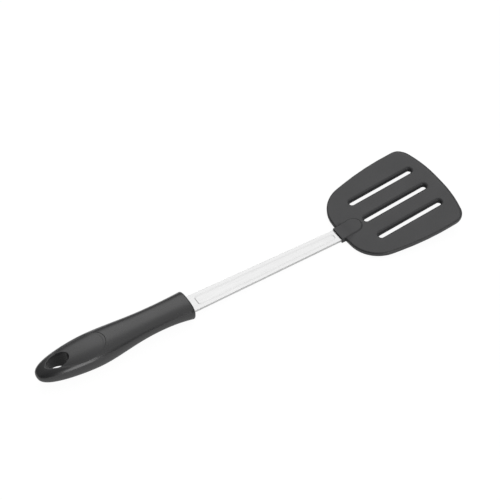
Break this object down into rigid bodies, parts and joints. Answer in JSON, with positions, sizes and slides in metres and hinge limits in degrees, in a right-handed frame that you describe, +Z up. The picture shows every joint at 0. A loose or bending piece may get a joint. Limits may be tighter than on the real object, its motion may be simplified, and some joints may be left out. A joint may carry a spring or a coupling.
{
  "type": "slotted spatula",
  "caption": "Slotted spatula with a wide round-cornered plastic blade, a flat steel shank with a pressed channel, and a moulded handle with an oval panel and a hang hole.",
  "frame": {"origin": "middle of the footprint, on the surface that the spatula lies on with the belly of its handle and the heel of its blade", "axes": "+X from the handle's tail towards the blade's front edge, +Y to the left of someone who holds the handle, +Z up from the surface"},
  "size_m": [0.3516, 0.0852, 0.0186],
  "materials": {
    "blade": "satin dark grey nylon",
    "shank": "satin stainless steel, brushed along its length",
    "handle": "satin dark grey polypropylene"
  },
  "bodies": {
    "root": {"blade": "blade", "shank": "shank", "handle": "handle"}
  },
  "joints": []
}
